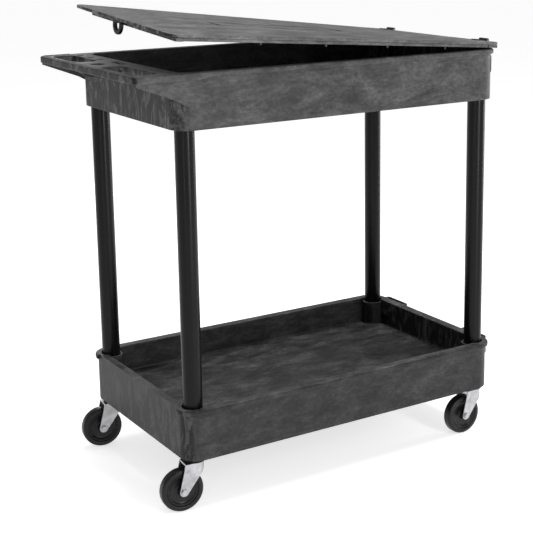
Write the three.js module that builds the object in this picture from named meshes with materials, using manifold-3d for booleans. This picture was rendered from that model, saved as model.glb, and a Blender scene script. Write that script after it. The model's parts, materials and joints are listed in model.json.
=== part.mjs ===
// Two-shelf tool cart: two moulded tubs on four round legs, a hinged flat lid over the upper tub,
// a push handle moulded onto the upper tub's end, and four swivel casters.
// Millimetres, +Z up. The origin is on the floor, under the middle of the whole cart.
// -X is the push-handle end, +X is the hinge end, -Y is the front side.

import * as THREE from "three";
import { mergeVertices } from "three/addons/utils/BufferGeometryUtils.js";
import Module from "manifold-3d";

const wasm = await Module();
wasm.setup();

// ---------------------------------------------------------------- driving dimensions
const GAP = 0.3; // clearance between neighbouring pieces
const CORNER_STEPS = 4; // flats in a quarter turn of a tub's corner

// The tubs. Their middle is moved towards +X, because the handle makes the -X end longer.
const TUB_X = 34.5;
const TUB_HALF_X = 383;
const TUB_HALF_Y = 228.8;
const TUB_CORNER_R = 37.5;
const BAND_OUT = 6; // how far the rim band stands proud of the wall
const BAND_TALL = 10;
const SKIN = 4; // wall thickness of the mouldings
const WALL_DEEP = 17.8; // outer face to inner face of the double wall
const TUB_DEPTH = 60; // rim to floor, inside

// Stiffening ribs under each floor.
const RIB_DROP = 10;
const RIB_PITCH = 78;
const RIBS_EACH_SIDE = 4;
const RIB_HALF = 1.6;

const LOW_BOTTOM = 108.9;
const LOW_TOP = 213.2;
const HIGH_BOTTOM = 763.4;
const HIGH_TOP = 870.9;

// Legs and the sockets that hold them.
const LEG_X = 353.5;
const LEG_Y = 195;
const LEG_R = 19.45;
const LEG_WALL = 2.2;
const LEG_SIDES = 20;
const PIN_SIDES = 12;
const SOCKET_R = 25;
const SOCKET_FLOOR = 3.2;
const HIGH_SOCKET_DEEP = 40.6;
const RIM_RECESS_R = 22.2;
const RIM_RECESS = 4.6;

// Push handle.
const HANDLE_END_X = TUB_X - 470;
const HANDLE_THICK = 13;
const HANDLE_CORNER_R = 17;
const HANDLE_RIBS_Y = [-178, -61, 61, 178];
const HANDLE_RIB_DROP = 26; // a rib's height at the tub's wall
const HANDLE_RIB_HALF = 1.8;
const SIDE_WEB_DROP = 35; // a side web's height at the tub's wall
const SIDE_WEB_THICK = 4.5;
const GRIP_HOLES = [
  { y0: -202, y1: -36, end: 14 },
  { y0: 70, y1: 210, end: 20 },
];
const GRIP_X0 = TUB_X - 452;
const GRIP_X1 = TUB_X - 405;
const CUP_HOLE = { x: TUB_X - 430, y: 17, r: 14 };
const SMALL_HOLES_Y = [92, 138, 192];
const SMALL_HOLES_X = TUB_X - 394;
const SMALL_HOLE_R = 5.5;
const HASP_SLOT = { x: TUB_X - 390, y: 8, wide: 12, long: 50 };
const HASP = { half: 19, eye: 10.5, eyeTop: 2.5, thick: 7.4, drop: 20.5 };

// Lugs on the lower tub's hinge end, and the proud panel on the hinge end of each tub.
const LUG_OUT = 401;
const LUG_BAR = 4.5;
const LUG_THICK = 8;
const LUG_SPANS = [
  [110, 190],
  [-190, -110],
];
const END_PAD_OUT = 3.4;
const END_PAD_HALF_Y = 205;
const LOW_PAD = { z0: 176, z1: 196 };
const HIGH_PAD = { z0: 815, z1: 858 };

// Lid, given as it lies when closed and before its warp. It is drawn raised by LID_OPEN.
const LID_OPEN = THREE.MathUtils.degToRad(5.55);
const HINGE_X = TUB_X + 391;
const HINGE_Z = 885.6;
const LID_X0 = TUB_X - 394;
const LID_X1 = TUB_X + 386.4;
const LID_HALF_Y = 231;
const LID_CORNER_R = 27; // at the free end
const LID_HINGE_R_FRONT = 12;
const LID_HINGE_R_BACK = 22;
const LID_NOTCH = { y0: -66, y1: 4, deep: 4 };
const LID_WARP = 15.8; // the free end's back corner stands this far above the flat, its front corner below
const WARP_X = LID_X1 - 28; // the lid is flat from here to its hinges
const WARP_STEP = 50; // longest facet side on a warped piece
const PANEL_THICK = 6.5;
const BATTEN_THICK = 6;
const BATTEN_WIDE = 34;
const BATTEN_BOTTOM = HIGH_TOP + 0.5;
const PANEL_BOTTOM = BATTEN_BOTTOM + BATTEN_THICK + GAP;
const PANEL_TOP = PANEL_BOTTOM + PANEL_THICK;
const SCREW_X = [-188, -38, 112, 262].map((x) => TUB_X + x);
const SCREW_Y = 201;
const SCREW_R = 2.8;
const SCREW_BITE = 3; // how far a screw goes up into the panel
const SCREW_TAIL = 7.5;
const SCREW_SIDES = 8;

// Hinges.
const HINGES_Y = [-172, 172];
const HINGE_LONG = 26;
const KNUCKLE_R = 4;
const PIN_R = 1.6;
const PIN_HOLE_R = 1.95;
const LEAF_THICK = 1.5;

// Casters.
const WHEEL_R = 44;
const TREAD_WIDE = 22;
const TRAIL = 29.5;
const FORK_OUT = 18; // middle plane to a cheek's outer face
const FORK_SKIN = 2.5;
const CROWN_Z = 100;
const CROWN_LEAD = 17; // swivel axis to the fork's leading face
const CROWN_TAIL = 25;
const FORK_END_R = 9.3;
const FORK_ROUND = 14; // corner radius of the fork's leading face, in plan
const AXLE_R = 4;
const AXLE_HEAD_R = 6.6;
const AXLE_HEAD_THICK = 3.6;
const NUT_R = 7;
const NUT_THICK = 5;
const RACE_R = 23;
const STEM_R = 5.5;
const STEM_TOP = 150;
const CORE_SIDES = 16;
const TYRE_SIDES = 28;
const CORNERS = [
  { tag: "front_left", sx: -1, sy: -1, heading: 84 },
  { tag: "front_right", sx: 1, sy: -1, heading: 91 },
  { tag: "back_left", sx: -1, sy: 1, heading: 83 },
  { tag: "back_right", sx: 1, sy: 1, heading: 88 },
];

// ---------------------------------------------------------------- materials
function finish(color, roughness, metalness) {
  return new THREE.MeshStandardMaterial({ color, roughness, metalness });
}
const upperPlastic = () => finish(0x5c5c5b, 0.6, 0);
const lowerPlastic = () => finish(0x474747, 0.6, 0);
const lidPlastic = () => finish(0x6c6c6b, 0.55, 0);
const legPlastic = () => finish(0x1c1d1e, 0.22, 0);
const blackSteel = () => finish(0x151616, 0.4, 0.6);
const zinc = () => finish(0xc9c9cb, 0.32, 1);
const wheelPlastic = () => finish(0x1d1f20, 0.45, 0);
const tyreRubber = () => finish(0x161717, 0.6, 0);

// ---------------------------------------------------------------- solid helpers
// A closed three.js geometry as a manifold solid.
function solid(geometry) {
  const bare = geometry.clone();
  bare.deleteAttribute("normal");
  bare.deleteAttribute("uv");
  const joined = mergeVertices(bare, 1e-4);
  return new wasm.Manifold(new wasm.Mesh({
    numProp: 3,
    vertProperties: Float32Array.from(joined.attributes.position.array),
    triVerts: Uint32Array.from(joined.index.array),
  }));
}

// A manifold solid as a three.js geometry.
function geometryOf(body) {
  const out = body.getMesh();
  const geometry = new THREE.BufferGeometry();
  geometry.setAttribute("position", new THREE.BufferAttribute(Float32Array.from(out.vertProperties), 3));
  geometry.setIndex(new THREE.BufferAttribute(Uint32Array.from(out.triVerts), 1));
  geometry.computeVertexNormals();
  return geometry;
}

function named(name, body, material) {
  const mesh = new THREE.Mesh(geometryOf(body), material);
  mesh.name = name;
  return mesh;
}

function block(x0, y0, z0, x1, y1, z1) {
  const box = new THREE.BoxGeometry(x1 - x0, y1 - y0, z1 - z0);
  box.translate((x0 + x1) / 2, (y0 + y1) / 2, (z0 + z1) / 2);
  return solid(box);
}

// An upright disc or post between two heights.
function post(x, y, r, z0, z1, sides = 24) {
  const drum = new THREE.CylinderGeometry(r, r, z1 - z0, sides);
  drum.rotateX(Math.PI / 2);
  drum.translate(x, y, (z0 + z1) / 2);
  return solid(drum);
}

// A round bar along Y between y0 and y1.
function rodY(x, z, r, y0, y1, sides = 16) {
  const drum = new THREE.CylinderGeometry(r, r, y1 - y0, sides);
  drum.translate(x, (y0 + y1) / 2, z);
  return solid(drum);
}

// An outline in plan, pulled up from z0 to z1.
function prism(outline, z0, z1, curveSegments = 6) {
  const slab = new THREE.ExtrudeGeometry(outline, { depth: z1 - z0, bevelEnabled: false, curveSegments });
  slab.translate(0, 0, z0);
  return solid(slab);
}

// An outline drawn in X and Z, pulled along Y from y0 to y1.
function sidePrism(outline, y0, y1, curveSegments = 6) {
  const slab = new THREE.ExtrudeGeometry(outline, { depth: y1 - y0, bevelEnabled: false, curveSegments });
  slab.rotateX(Math.PI / 2);
  slab.translate(0, y1, 0);
  return solid(slab);
}

function outlineOf(points) {
  return new THREE.Shape(points.map(([x, y]) => new THREE.Vector2(x, y)));
}

// A rectangle with round corners: r is one radius, or [x0y0, x1y0, x1y1, x0y1].
function roundRect(x0, y0, x1, y1, r) {
  const [a, b, c, d] = Array.isArray(r) ? r : [r, r, r, r];
  const shape = new THREE.Shape();
  shape.moveTo(x0 + a, y0);
  shape.lineTo(x1 - b, y0);
  shape.absarc(x1 - b, y0 + b, b, -Math.PI / 2, 0, false);
  shape.lineTo(x1, y1 - c);
  shape.absarc(x1 - c, y1 - c, c, 0, Math.PI / 2, false);
  shape.lineTo(x0 + d, y1);
  shape.absarc(x0 + d, y1 - d, d, Math.PI / 2, Math.PI, false);
  shape.lineTo(x0, y0 + a);
  shape.absarc(x0 + a, y0 + a, a, Math.PI, 1.5 * Math.PI, false);
  return shape;
}

// One level of a tub: a rounded rectangle, inset from the wall's outer face.
function tubRing(inset, z, steps) {
  const hx = TUB_HALF_X - inset;
  const hy = TUB_HALF_Y - inset;
  const r = Math.max(TUB_CORNER_R - inset, 6);
  const ring = [];
  const corners = [[1, -1], [1, 1], [-1, 1], [-1, -1]];
  corners.forEach(([sx, sy], quarter) => {
    for (let i = 0; i <= steps; i += 1) {
      const angle = -Math.PI / 2 + (quarter + i / steps) * (Math.PI / 2);
      ring.push([TUB_X + sx * (hx - r) + r * Math.cos(angle), sy * (hy - r) + r * Math.sin(angle), z]);
    }
  });
  return ring;
}

// A closed skin through rings of equal length, capped by a point at each end.
function loft(rings, firstZ, lastZ) {
  const count = rings[0].length;
  const points = rings.flat();
  const first = points.push([TUB_X, 0, firstZ]) - 1;
  const last = points.push([TUB_X, 0, lastZ]) - 1;
  const faces = [];
  for (let i = 0; i < count; i += 1) {
    const j = (i + 1) % count;
    faces.push(first, j, i);
    for (let level = 0; level + 1 < rings.length; level += 1) {
      const a = level * count;
      const b = a + count;
      faces.push(a + i, a + j, b + j, a + i, b + j, b + i);
    }
    const top = (rings.length - 1) * count;
    faces.push(top + i, top + j, last);
  }
  const geometry = new THREE.BufferGeometry();
  geometry.setAttribute("position", new THREE.BufferAttribute(new Float32Array(points.flat()), 3));
  geometry.setIndex(faces);
  return solid(geometry);
}

function joinAll(bodies) {
  return bodies.reduce((sum, body) => sum.add(body));
}

function cutAll(body, cuts) {
  return cuts.reduce((rest, cut) => rest.subtract(cut), body);
}

// ---------------------------------------------------------------- the tubs
// The tub's skin: a floor, a double wall folded over at the rim, and a skirt below the floor.
function tubShell(bottom, top) {
  const floor = top - TUB_DEPTH;
  const under = floor - SKIN;
  const fold = top - SKIN;
  const inner = WALL_DEEP - SKIN;
  const profile = [
    [inner, under],
    [inner, fold],
    [SKIN, fold],
    [SKIN, bottom],
    [0.8, bottom],
    [0, bottom + 1.5],
    [0, top],
    [WALL_DEEP - 1, top],
    [WALL_DEEP, top - 1],
    [WALL_DEEP, floor + 5],
    [WALL_DEEP + 1.5, floor + 1.5],
    [WALL_DEEP + 5, floor],
  ];
  return loft(profile.map(([inset, z]) => tubRing(inset, z, CORNER_STEPS)), under, floor);
}

// The proud band round the rim, with its upper edge rounded.
function rimBand(top) {
  const round = 2.4;
  const out = BAND_OUT - round;
  const hx = TUB_HALF_X + out;
  const hy = TUB_HALF_Y + out;
  const outline = roundRect(TUB_X - hx, -hy, TUB_X + hx, hy, TUB_CORNER_R + out);
  const lower = roundRect(
    TUB_X - TUB_HALF_X - BAND_OUT, -TUB_HALF_Y - BAND_OUT, TUB_X + TUB_HALF_X + BAND_OUT,
    TUB_HALF_Y + BAND_OUT, TUB_CORNER_R + BAND_OUT,
  );
  const keep = prism(lower, top - BAND_TALL, top + 1, CORNER_STEPS);
  const slab = new THREE.ExtrudeGeometry(outline, {
    depth: BAND_TALL,
    bevelThickness: round,
    bevelSize: round,
    bevelSegments: 1,
    curveSegments: CORNER_STEPS,
  });
  slab.translate(0, 0, top - BAND_TALL - round);
  const inset = 2;
  const hole = roundRect(
    TUB_X - TUB_HALF_X + inset, -TUB_HALF_Y + inset, TUB_X + TUB_HALF_X - inset,
    TUB_HALF_Y - inset, TUB_CORNER_R - inset,
  );
  return solid(slab).intersect(keep).subtract(prism(hole, top - BAND_TALL - 5, top + 5, CORNER_STEPS));
}

// Low ribs across the underside of the floor, and one along its middle.
function floorRibs(floor) {
  const z0 = floor - SKIN - RIB_DROP;
  const z1 = floor - 1;
  const reachX = TUB_HALF_X - 2;
  const reachY = TUB_HALF_Y - 2;
  const bars = [];
  for (let i = -RIBS_EACH_SIDE; i <= RIBS_EACH_SIDE; i += 1) {
    const x = TUB_X + i * RIB_PITCH;
    bars.push(block(x - RIB_HALF, -reachY, z0, x + RIB_HALF, reachY, z1));
  }
  bars.push(block(TUB_X - reachX, -RIB_HALF, z0, TUB_X + reachX, RIB_HALF, z1));
  return joinAll(bars);
}

// Open loops on the hinge end of a tub's rim, which cords and tools hang from.
function endLugs(top) {
  const x0 = TUB_X + TUB_HALF_X + 2;
  const x1 = TUB_X + LUG_OUT;
  const slot0 = TUB_X + TUB_HALF_X + BAND_OUT + 0.5;
  return LUG_SPANS.map(([y0, y1]) => {
    const loop = prism(roundRect(x0, y0, x1, y1, [1, 6, 6, 1]), top - LUG_THICK, top - 0.8, 3);
    const slot = roundRect(slot0, y0 + 7, x1 - LUG_BAR, y1 - 7, 1.5);
    return loop.subtract(prism(slot, top - 30, top + 10, 2));
  });
}

// A shallow proud panel on the end wall below the lugs.
function endPad({ z0, z1 }) {
  const x = TUB_X + TUB_HALF_X;
  const pad = roundRect(-END_PAD_HALF_Y, z0, END_PAD_HALF_Y, z1, 8);
  const depth = END_PAD_OUT + 2;
  const slab = new THREE.ExtrudeGeometry(pad, { depth, bevelEnabled: false, curveSegments: 3 });
  slab.rotateX(Math.PI / 2);
  slab.rotateZ(Math.PI / 2);
  slab.translate(x - 2, 0, 0);
  return solid(slab);
}

function legPosts(r, z0, z1, sides) {
  return CORNERS.map(({ sx, sy }) => post(TUB_X + sx * LEG_X, sy * LEG_Y, r, z0, z1, sides));
}

function bottomTray() {
  const floor = LOW_TOP - TUB_DEPTH;
  const flushEnd = block(
    TUB_X - TUB_HALF_X - 20, -TUB_HALF_Y + TUB_CORNER_R, LOW_TOP - 30,
    TUB_X - TUB_HALF_X, TUB_HALF_Y - TUB_CORNER_R, LOW_TOP + 5,
  );
  const band = rimBand(LOW_TOP).subtract(flushEnd);
  const sockets = legPosts(SOCKET_R, LOW_BOTTOM, LOW_TOP - RIM_RECESS, LEG_SIDES);
  const whole = joinAll([
    tubShell(LOW_BOTTOM, LOW_TOP), band, floorRibs(floor), endPad(LOW_PAD),
    ...sockets, ...endLugs(LOW_TOP),
  ]);
  return cutAll(whole, [
    ...legPosts(RIM_RECESS_R, LOW_TOP - RIM_RECESS, LOW_TOP + 5, LEG_SIDES),
    ...legPosts(LEG_R + GAP, LOW_BOTTOM + SOCKET_FLOOR, LOW_TOP + 5, LEG_SIDES),
    ...legPosts(STEM_R + 1, LOW_BOTTOM - 5, LOW_BOTTOM + 10, PIN_SIDES),
  ]);
}

// The plate of the push handle, running from the grip bar to just inside the tub's end wall.
function handlePlate() {
  const half = TUB_HALF_Y + BAND_OUT;
  const x1 = TUB_X - TUB_HALF_X + 60;
  const round = 2;
  const outline = roundRect(
    HANDLE_END_X + round, -half + round, x1, half - round,
    [HANDLE_CORNER_R, 1, 1, HANDLE_CORNER_R],
  );
  const slab = new THREE.ExtrudeGeometry(outline, {
    depth: HANDLE_THICK - 2 * round,
    bevelThickness: round,
    bevelSize: round,
    bevelSegments: 1,
    curveSegments: 4,
  });
  slab.translate(0, 0, HIGH_TOP - HANDLE_THICK + round);
  const inset = WALL_DEEP - 0.5;
  const openY = TUB_HALF_Y - inset;
  const openR = TUB_CORNER_R - WALL_DEEP;
  const opening = roundRect(TUB_X - TUB_HALF_X + inset, -openY, TUB_X, openY, [openR, 1, 1, openR]);
  return solid(slab).subtract(prism(opening, HIGH_TOP - 30, HIGH_TOP + 5, CORNER_STEPS));
}

// Sloping webs that carry the handle plate from the end wall.
function handleWebs() {
  const wall = TUB_X - TUB_HALF_X;
  const z = HIGH_TOP - HANDLE_THICK;
  const side = outlineOf([
    [HANDLE_END_X + 6, z + 3], [HANDLE_END_X + 6, z - 5], [wall - 3, z - SIDE_WEB_DROP],
    [wall + TUB_CORNER_R, z - SIDE_WEB_DROP - 22], [wall + TUB_CORNER_R, z + 3],
  ]);
  const rib = outlineOf([
    [HANDLE_END_X + 8, z + 2], [HANDLE_END_X + 30, z - 14],
    [wall + 2, z - HANDLE_RIB_DROP], [wall + 2, z + 2],
  ]);
  const webs = HANDLE_RIBS_Y.map((y) => sidePrism(rib, y - HANDLE_RIB_HALF, y + HANDLE_RIB_HALF));
  webs.push(sidePrism(side, -TUB_HALF_Y, -TUB_HALF_Y + SIDE_WEB_THICK));
  webs.push(sidePrism(side, TUB_HALF_Y - SIDE_WEB_THICK, TUB_HALF_Y));
  return webs;
}

// Everything cut down through the handle plate: grips, tool holes and the hasp's slot.
function handleCuts() {
  const z0 = HIGH_TOP - 80;
  const z1 = HIGH_TOP + 5;
  const ribTop = HIGH_TOP - HANDLE_THICK - 40;
  const cuts = GRIP_HOLES.map(({ y0, y1, end }) => {
    const outline = roundRect(GRIP_X0, y0, GRIP_X1, y1, end);
    return prism(outline, ribTop, z1, 3);
  });
  cuts.push(post(CUP_HOLE.x, CUP_HOLE.y, CUP_HOLE.r, z0, z1, 20));
  SMALL_HOLES_Y.forEach((y) => cuts.push(post(SMALL_HOLES_X, y, SMALL_HOLE_R, z0, z1, 12)));
  const { x, y, wide, long } = HASP_SLOT;
  cuts.push(prism(roundRect(x - wide / 2, y - long / 2, x + wide / 2, y + long / 2, 4), z0, z1, 3));
  return cuts;
}

function topTray() {
  const floor = HIGH_TOP - TUB_DEPTH;
  const socketTop = HIGH_BOTTOM + HIGH_SOCKET_DEEP;
  const handle = cutAll(joinAll([handlePlate(), ...handleWebs()]), handleCuts());
  const x1 = TUB_X - TUB_HALF_X + 50;
  const handleSide = block(HANDLE_END_X - 50, -300, HIGH_TOP - 40, x1, 300, HIGH_TOP + 20);
  const whole = joinAll([
    tubShell(HIGH_BOTTOM, HIGH_TOP), rimBand(HIGH_TOP).subtract(handleSide), floorRibs(floor),
    endPad(HIGH_PAD), ...legPosts(SOCKET_R, HIGH_BOTTOM, floor - 1, LEG_SIDES), handle,
  ]);
  return cutAll(whole, legPosts(LEG_R + GAP, HIGH_BOTTOM - 5, socketTop, LEG_SIDES));
}

// ---------------------------------------------------------------- legs and stems
// A closed turned skin round the Z axis: [radius, height] points, in order, back to the first.
function turned(points, sides) {
  const loop = [...points, points[0]].map(([r, z]) => new THREE.Vector2(r, z));
  const ring = new THREE.LatheGeometry(loop, sides);
  ring.rotateX(Math.PI / 2);
  return solid(ring);
}

function leg(sx, sy) {
  const z0 = LOW_BOTTOM + SOCKET_FLOOR + GAP;
  const z1 = HIGH_BOTTOM + HIGH_SOCKET_DEEP - GAP;
  const bore = LEG_R - LEG_WALL;
  const tube = turned([[bore, z0], [LEG_R, z0], [LEG_R, z1], [bore, z1]], LEG_SIDES);
  return tube.translate(TUB_X + sx * LEG_X, sy * LEG_Y, 0);
}

// The plug that fills a leg's foot and grips the caster's stem.
function stemPlug(sx, sy) {
  const z0 = LOW_BOTTOM + SOCKET_FLOOR + 2 * GAP;
  const bore = STEM_R + GAP;
  const out = LEG_R - LEG_WALL - GAP;
  const plug = turned([[bore, z0], [out, z0], [out, z0 + 42], [bore, z0 + 42]], LEG_SIDES);
  return plug.translate(TUB_X + sx * LEG_X, sy * LEG_Y, 0);
}

// The fixed half of a swivel: the rivet under the crown, the race above it and the stem.
function casterStem(sx, sy) {
  const crownUnder = CROWN_Z - FORK_SKIN;
  const raceTop = LOW_BOTTOM - GAP;
  const profile = [
    [0, crownUnder - 5], [9, crownUnder - 5], [9.5, crownUnder - GAP], [STEM_R, crownUnder - GAP],
    [STEM_R, CROWN_Z + GAP], [RACE_R - 2, CROWN_Z + GAP], [RACE_R, CROWN_Z + 3],
    [RACE_R - 5, raceTop], [STEM_R, raceTop], [STEM_R, STEM_TOP], [0, STEM_TOP],
  ];
  const curve = profile.map(([r, z]) => new THREE.Vector2(r, z));
  const body = new THREE.LatheGeometry(curve, PIN_SIDES);
  body.rotateX(Math.PI / 2);
  return solid(body).translate(TUB_X + sx * LEG_X, sy * LEG_Y, 0);
}

// ---------------------------------------------------------------- lid
// The lid's lasting twist, which grows from nothing by the hinges to LID_WARP at the free corners.
function warped(body) {
  return body.refineToLength(WARP_STEP).warp((point) => {
    const along = Math.max(0, (WARP_X - point[0]) / (WARP_X - LID_X0));
    point[2] += (LID_WARP * along * point[1]) / LID_HALF_Y;
  });
}

function lidPanel() {
  const corners = [LID_CORNER_R, LID_HINGE_R_FRONT, LID_HINGE_R_BACK, LID_CORNER_R];
  const outline = roundRect(LID_X0, -LID_HALF_Y, LID_X1, LID_HALF_Y, corners);
  const round = 1.6;
  const inner = roundRect(
    LID_X0 + round, -LID_HALF_Y + round, LID_X1 - round, LID_HALF_Y - round,
    corners.map((r) => r - round),
  );
  const slab = new THREE.ExtrudeGeometry(inner, {
    depth: PANEL_THICK - round, bevelThickness: round, bevelSize: round, bevelSegments: 1, curveSegments: 4,
  });
  slab.translate(0, 0, PANEL_BOTTOM);
  const { y0, y1, deep } = LID_NOTCH;
  const notch = roundRect(LID_X1 - deep, y0, LID_X1 + 20, y1, 4);
  return solid(slab)
    .intersect(prism(outline, PANEL_BOTTOM, PANEL_TOP + 1, 4))
    .subtract(prism(notch, PANEL_BOTTOM - 5, PANEL_TOP + 5, 3));
}

function batten(x0, y0, x1, y1) {
  return prism(roundRect(x0, y0, x1, y1, 2), BATTEN_BOTTOM, PANEL_BOTTOM - GAP, 2);
}

const END_BAR = { x0: LID_X0 + 8.6, x1: LID_X0 + 26, y0: -LID_HALF_Y - 2, y1: 150 };
const SIDE_BATTEN = {
  x0: LID_X0 + 27,
  x1: LID_X1 - 28,
  y0: LID_HALF_Y - 4 - BATTEN_WIDE,
  y1: LID_HALF_Y - 4,
};

// The loop that drops through the handle's slot for a padlock, drawn in Y and Z.
function haspLoop() {
  const { half, eye, eyeTop, thick, drop } = HASP;
  const top = PANEL_BOTTOM - GAP;
  const low = BATTEN_BOTTOM - drop + half;
  const shape = new THREE.Shape();
  shape.moveTo(half, top);
  shape.lineTo(-half, top);
  shape.lineTo(-half, low);
  shape.absarc(0, low, half, Math.PI, 2 * Math.PI, false);
  shape.lineTo(half, top);
  const hole = new THREE.Path();
  hole.moveTo(-eye, BATTEN_BOTTOM + eyeTop);
  hole.lineTo(eye, BATTEN_BOTTOM + eyeTop);
  hole.lineTo(eye, low);
  hole.absarc(0, low, eye, 0, -Math.PI, true);
  hole.lineTo(-eye, BATTEN_BOTTOM + eyeTop);
  shape.holes.push(hole);
  const round = 1.5;
  const slab = new THREE.ExtrudeGeometry(shape, {
    depth: thick - 2 * round,
    bevelThickness: round,
    bevelSize: round,
    bevelOffset: -round,
    bevelSegments: 1,
    curveSegments: 6,
  });
  slab.translate(0, 0, round - thick / 2);
  slab.rotateX(Math.PI / 2);
  slab.rotateZ(Math.PI / 2);
  slab.translate(HASP_SLOT.x, HASP_SLOT.y, 0);
  return solid(slab);
}

// A screw set up through a batten and the panel, its tail left hanging below.
function lidScrew(x, y) {
  const low = BATTEN_BOTTOM - SCREW_TAIL;
  const top = PANEL_BOTTOM + SCREW_BITE;
  const curve = [[0, low], [SCREW_R - 0.8, low], [SCREW_R, low + 1], [SCREW_R, top], [0, top]];
  const body = new THREE.LatheGeometry(curve.map(([r, z]) => new THREE.Vector2(r, z)), SCREW_SIDES);
  body.rotateX(Math.PI / 2);
  return solid(body).translate(x, y, 0);
}

// ---------------------------------------------------------------- hinges
function knuckle(y0, y1) {
  return rodY(HINGE_X, HINGE_Z, KNUCKLE_R, y0, y1, PIN_SIDES);
}

function pinBore(y) {
  return rodY(HINGE_X, HINGE_Z, PIN_HOLE_R, y - HINGE_LONG, y + HINGE_LONG, PIN_SIDES);
}

// The leaf on the tub: a flat strap up the rim's outer face, with the two outer knuckles.
function fixedLeaf(y) {
  const half = HINGE_LONG / 2;
  const third = HINGE_LONG / 6;
  const x0 = TUB_X + TUB_HALF_X + BAND_OUT + GAP;
  const strap = block(x0, y - half, HIGH_TOP - 9.5, x0 + LEAF_THICK, y + half, HINGE_Z);
  const middle = block(x0 - 10, y - third - GAP, HIGH_TOP + 1, x0 + 20, y + third + GAP, HINGE_Z + 10);
  const knuckles = [knuckle(y - half, y - third - GAP), knuckle(y + third + GAP, y + half)];
  return joinAll([strap.subtract(middle), ...knuckles]).subtract(pinBore(y));
}

// The leaf on the lid: a flat plate over the panel's edge, with the middle knuckle.
function lidLeaf(y) {
  const half = HINGE_LONG / 2;
  const third = HINGE_LONG / 6;
  const z0 = PANEL_TOP + GAP;
  const plate = block(LID_X1 - 22, y - half, z0, LID_X1 - 1.2, y + half, z0 + LEAF_THICK);
  const neck = block(LID_X1 - 2, y - third, z0, HINGE_X, y + third, z0 + LEAF_THICK);
  return joinAll([plate, neck, knuckle(y - third, y + third)]).subtract(pinBore(y));
}

function hingePin(y) {
  const half = HINGE_LONG / 2 + 0.6;
  return rodY(HINGE_X, HINGE_Z, PIN_R, y - half, y + half, PIN_SIDES);
}

// ---------------------------------------------------------------- casters
// Each is drawn with its axle along Y and its wheel trailing towards -X, at the swivel's axis.
const AXLE_X = -TRAIL;

function forkCheek() {
  const shape = new THREE.Shape();
  shape.moveTo(CROWN_LEAD, CROWN_Z);
  shape.lineTo(-CROWN_TAIL, CROWN_Z);
  shape.lineTo(AXLE_X - FORK_END_R + 0.3, WHEEL_R + 4);
  shape.absarc(AXLE_X, WHEEL_R, FORK_END_R, Math.PI - 0.4, 2 * Math.PI - 0.75, false);
  shape.lineTo(4.5, CROWN_Z - 26);
  shape.quadraticCurveTo(CROWN_LEAD - 1, CROWN_Z - 18, CROWN_LEAD, CROWN_Z);
  return shape;
}

// A stamped yoke: a crown, two cheeks and a rounded skirt across its leading side.
function fork() {
  const body = sidePrism(forkCheek(), -FORK_OUT, FORK_OUT, 4);
  const skin = FORK_SKIN;
  const round = FORK_ROUND - skin;
  const outer = roundRect(-60, -FORK_OUT, CROWN_LEAD, FORK_OUT, [1, FORK_ROUND, FORK_ROUND, 1]);
  const inner = roundRect(-80, -FORK_OUT + skin, CROWN_LEAD - skin, FORK_OUT - skin, [1, round, round, 1]);
  const shell = body
    .intersect(prism(outer, 0, CROWN_Z + 10, 3))
    .subtract(prism(inner, 0, CROWN_Z - skin, 3));
  const bore = post(0, 0, STEM_R + GAP, 0, CROWN_Z + 10, PIN_SIDES);
  const axleBore = rodY(AXLE_X, WHEEL_R, AXLE_R + GAP, -40, 40, PIN_SIDES);
  return cutAll(shell, [bore, axleBore]);
}

function axle() {
  const seat = -FORK_OUT - GAP;
  const head = rodY(AXLE_X, WHEEL_R, AXLE_HEAD_R, seat - AXLE_HEAD_THICK, seat, 6);
  const shank = rodY(AXLE_X, WHEEL_R, AXLE_R, seat - 1, FORK_OUT + NUT_THICK + 1.5, PIN_SIDES);
  return head.add(shank);
}

function axleNut() {
  const y0 = FORK_OUT + GAP;
  const nut = rodY(AXLE_X, WHEEL_R, NUT_R, y0, y0 + NUT_THICK, 6);
  return nut.subtract(rodY(AXLE_X, WHEEL_R, AXLE_R + GAP, 0, 60, PIN_SIDES));
}

// A closed turned skin round the axle: [radius, offset from the middle plane] points.
function turnedOnAxle(points, sides) {
  const loop = [...points, points[0]].map(([r, y]) => new THREE.Vector2(r, y));
  const ring = new THREE.LatheGeometry(loop, sides);
  ring.translate(AXLE_X, 0, WHEEL_R);
  return ring;
}

function wheelCore() {
  const bore = AXLE_R + GAP;
  const face = [
    [bore, -14.2], [8.5, -14.2], [12, -5.5], [27, -5.5], [29.5, -9.4], [32.4, -9.4],
  ];
  const mirrored = face.map(([r, y]) => [r, -y]).reverse();
  return solid(turnedOnAxle([...face, ...mirrored], CORE_SIDES));
}

function tyre() {
  const half = TREAD_WIDE / 2;
  const face = [
    [32.7, -half + 1.5], [37, -half], [41.5, -half + 0.6], [WHEEL_R, -half + 4.5],
  ];
  const mirrored = face.map(([r, y]) => [r, -y]).reverse();
  return solid(turnedOnAxle([...face, ...mirrored], TYRE_SIDES));
}

function casterGroup({ tag, sx, sy, heading }) {
  const group = new THREE.Group();
  group.position.set(TUB_X + sx * LEG_X, sy * LEG_Y, 0);
  group.rotation.z = THREE.MathUtils.degToRad(heading - 90);
  group.add(named(`fork_${tag}`, fork(), zinc()));
  group.add(named(`axle_${tag}`, axle(), zinc()));
  group.add(named(`axle_nut_${tag}`, axleNut(), zinc()));
  group.add(named(`wheel_core_${tag}`, wheelCore(), wheelPlastic()));
  group.add(named(`tyre_${tag}`, tyre(), tyreRubber()));
  return group;
}

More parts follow.
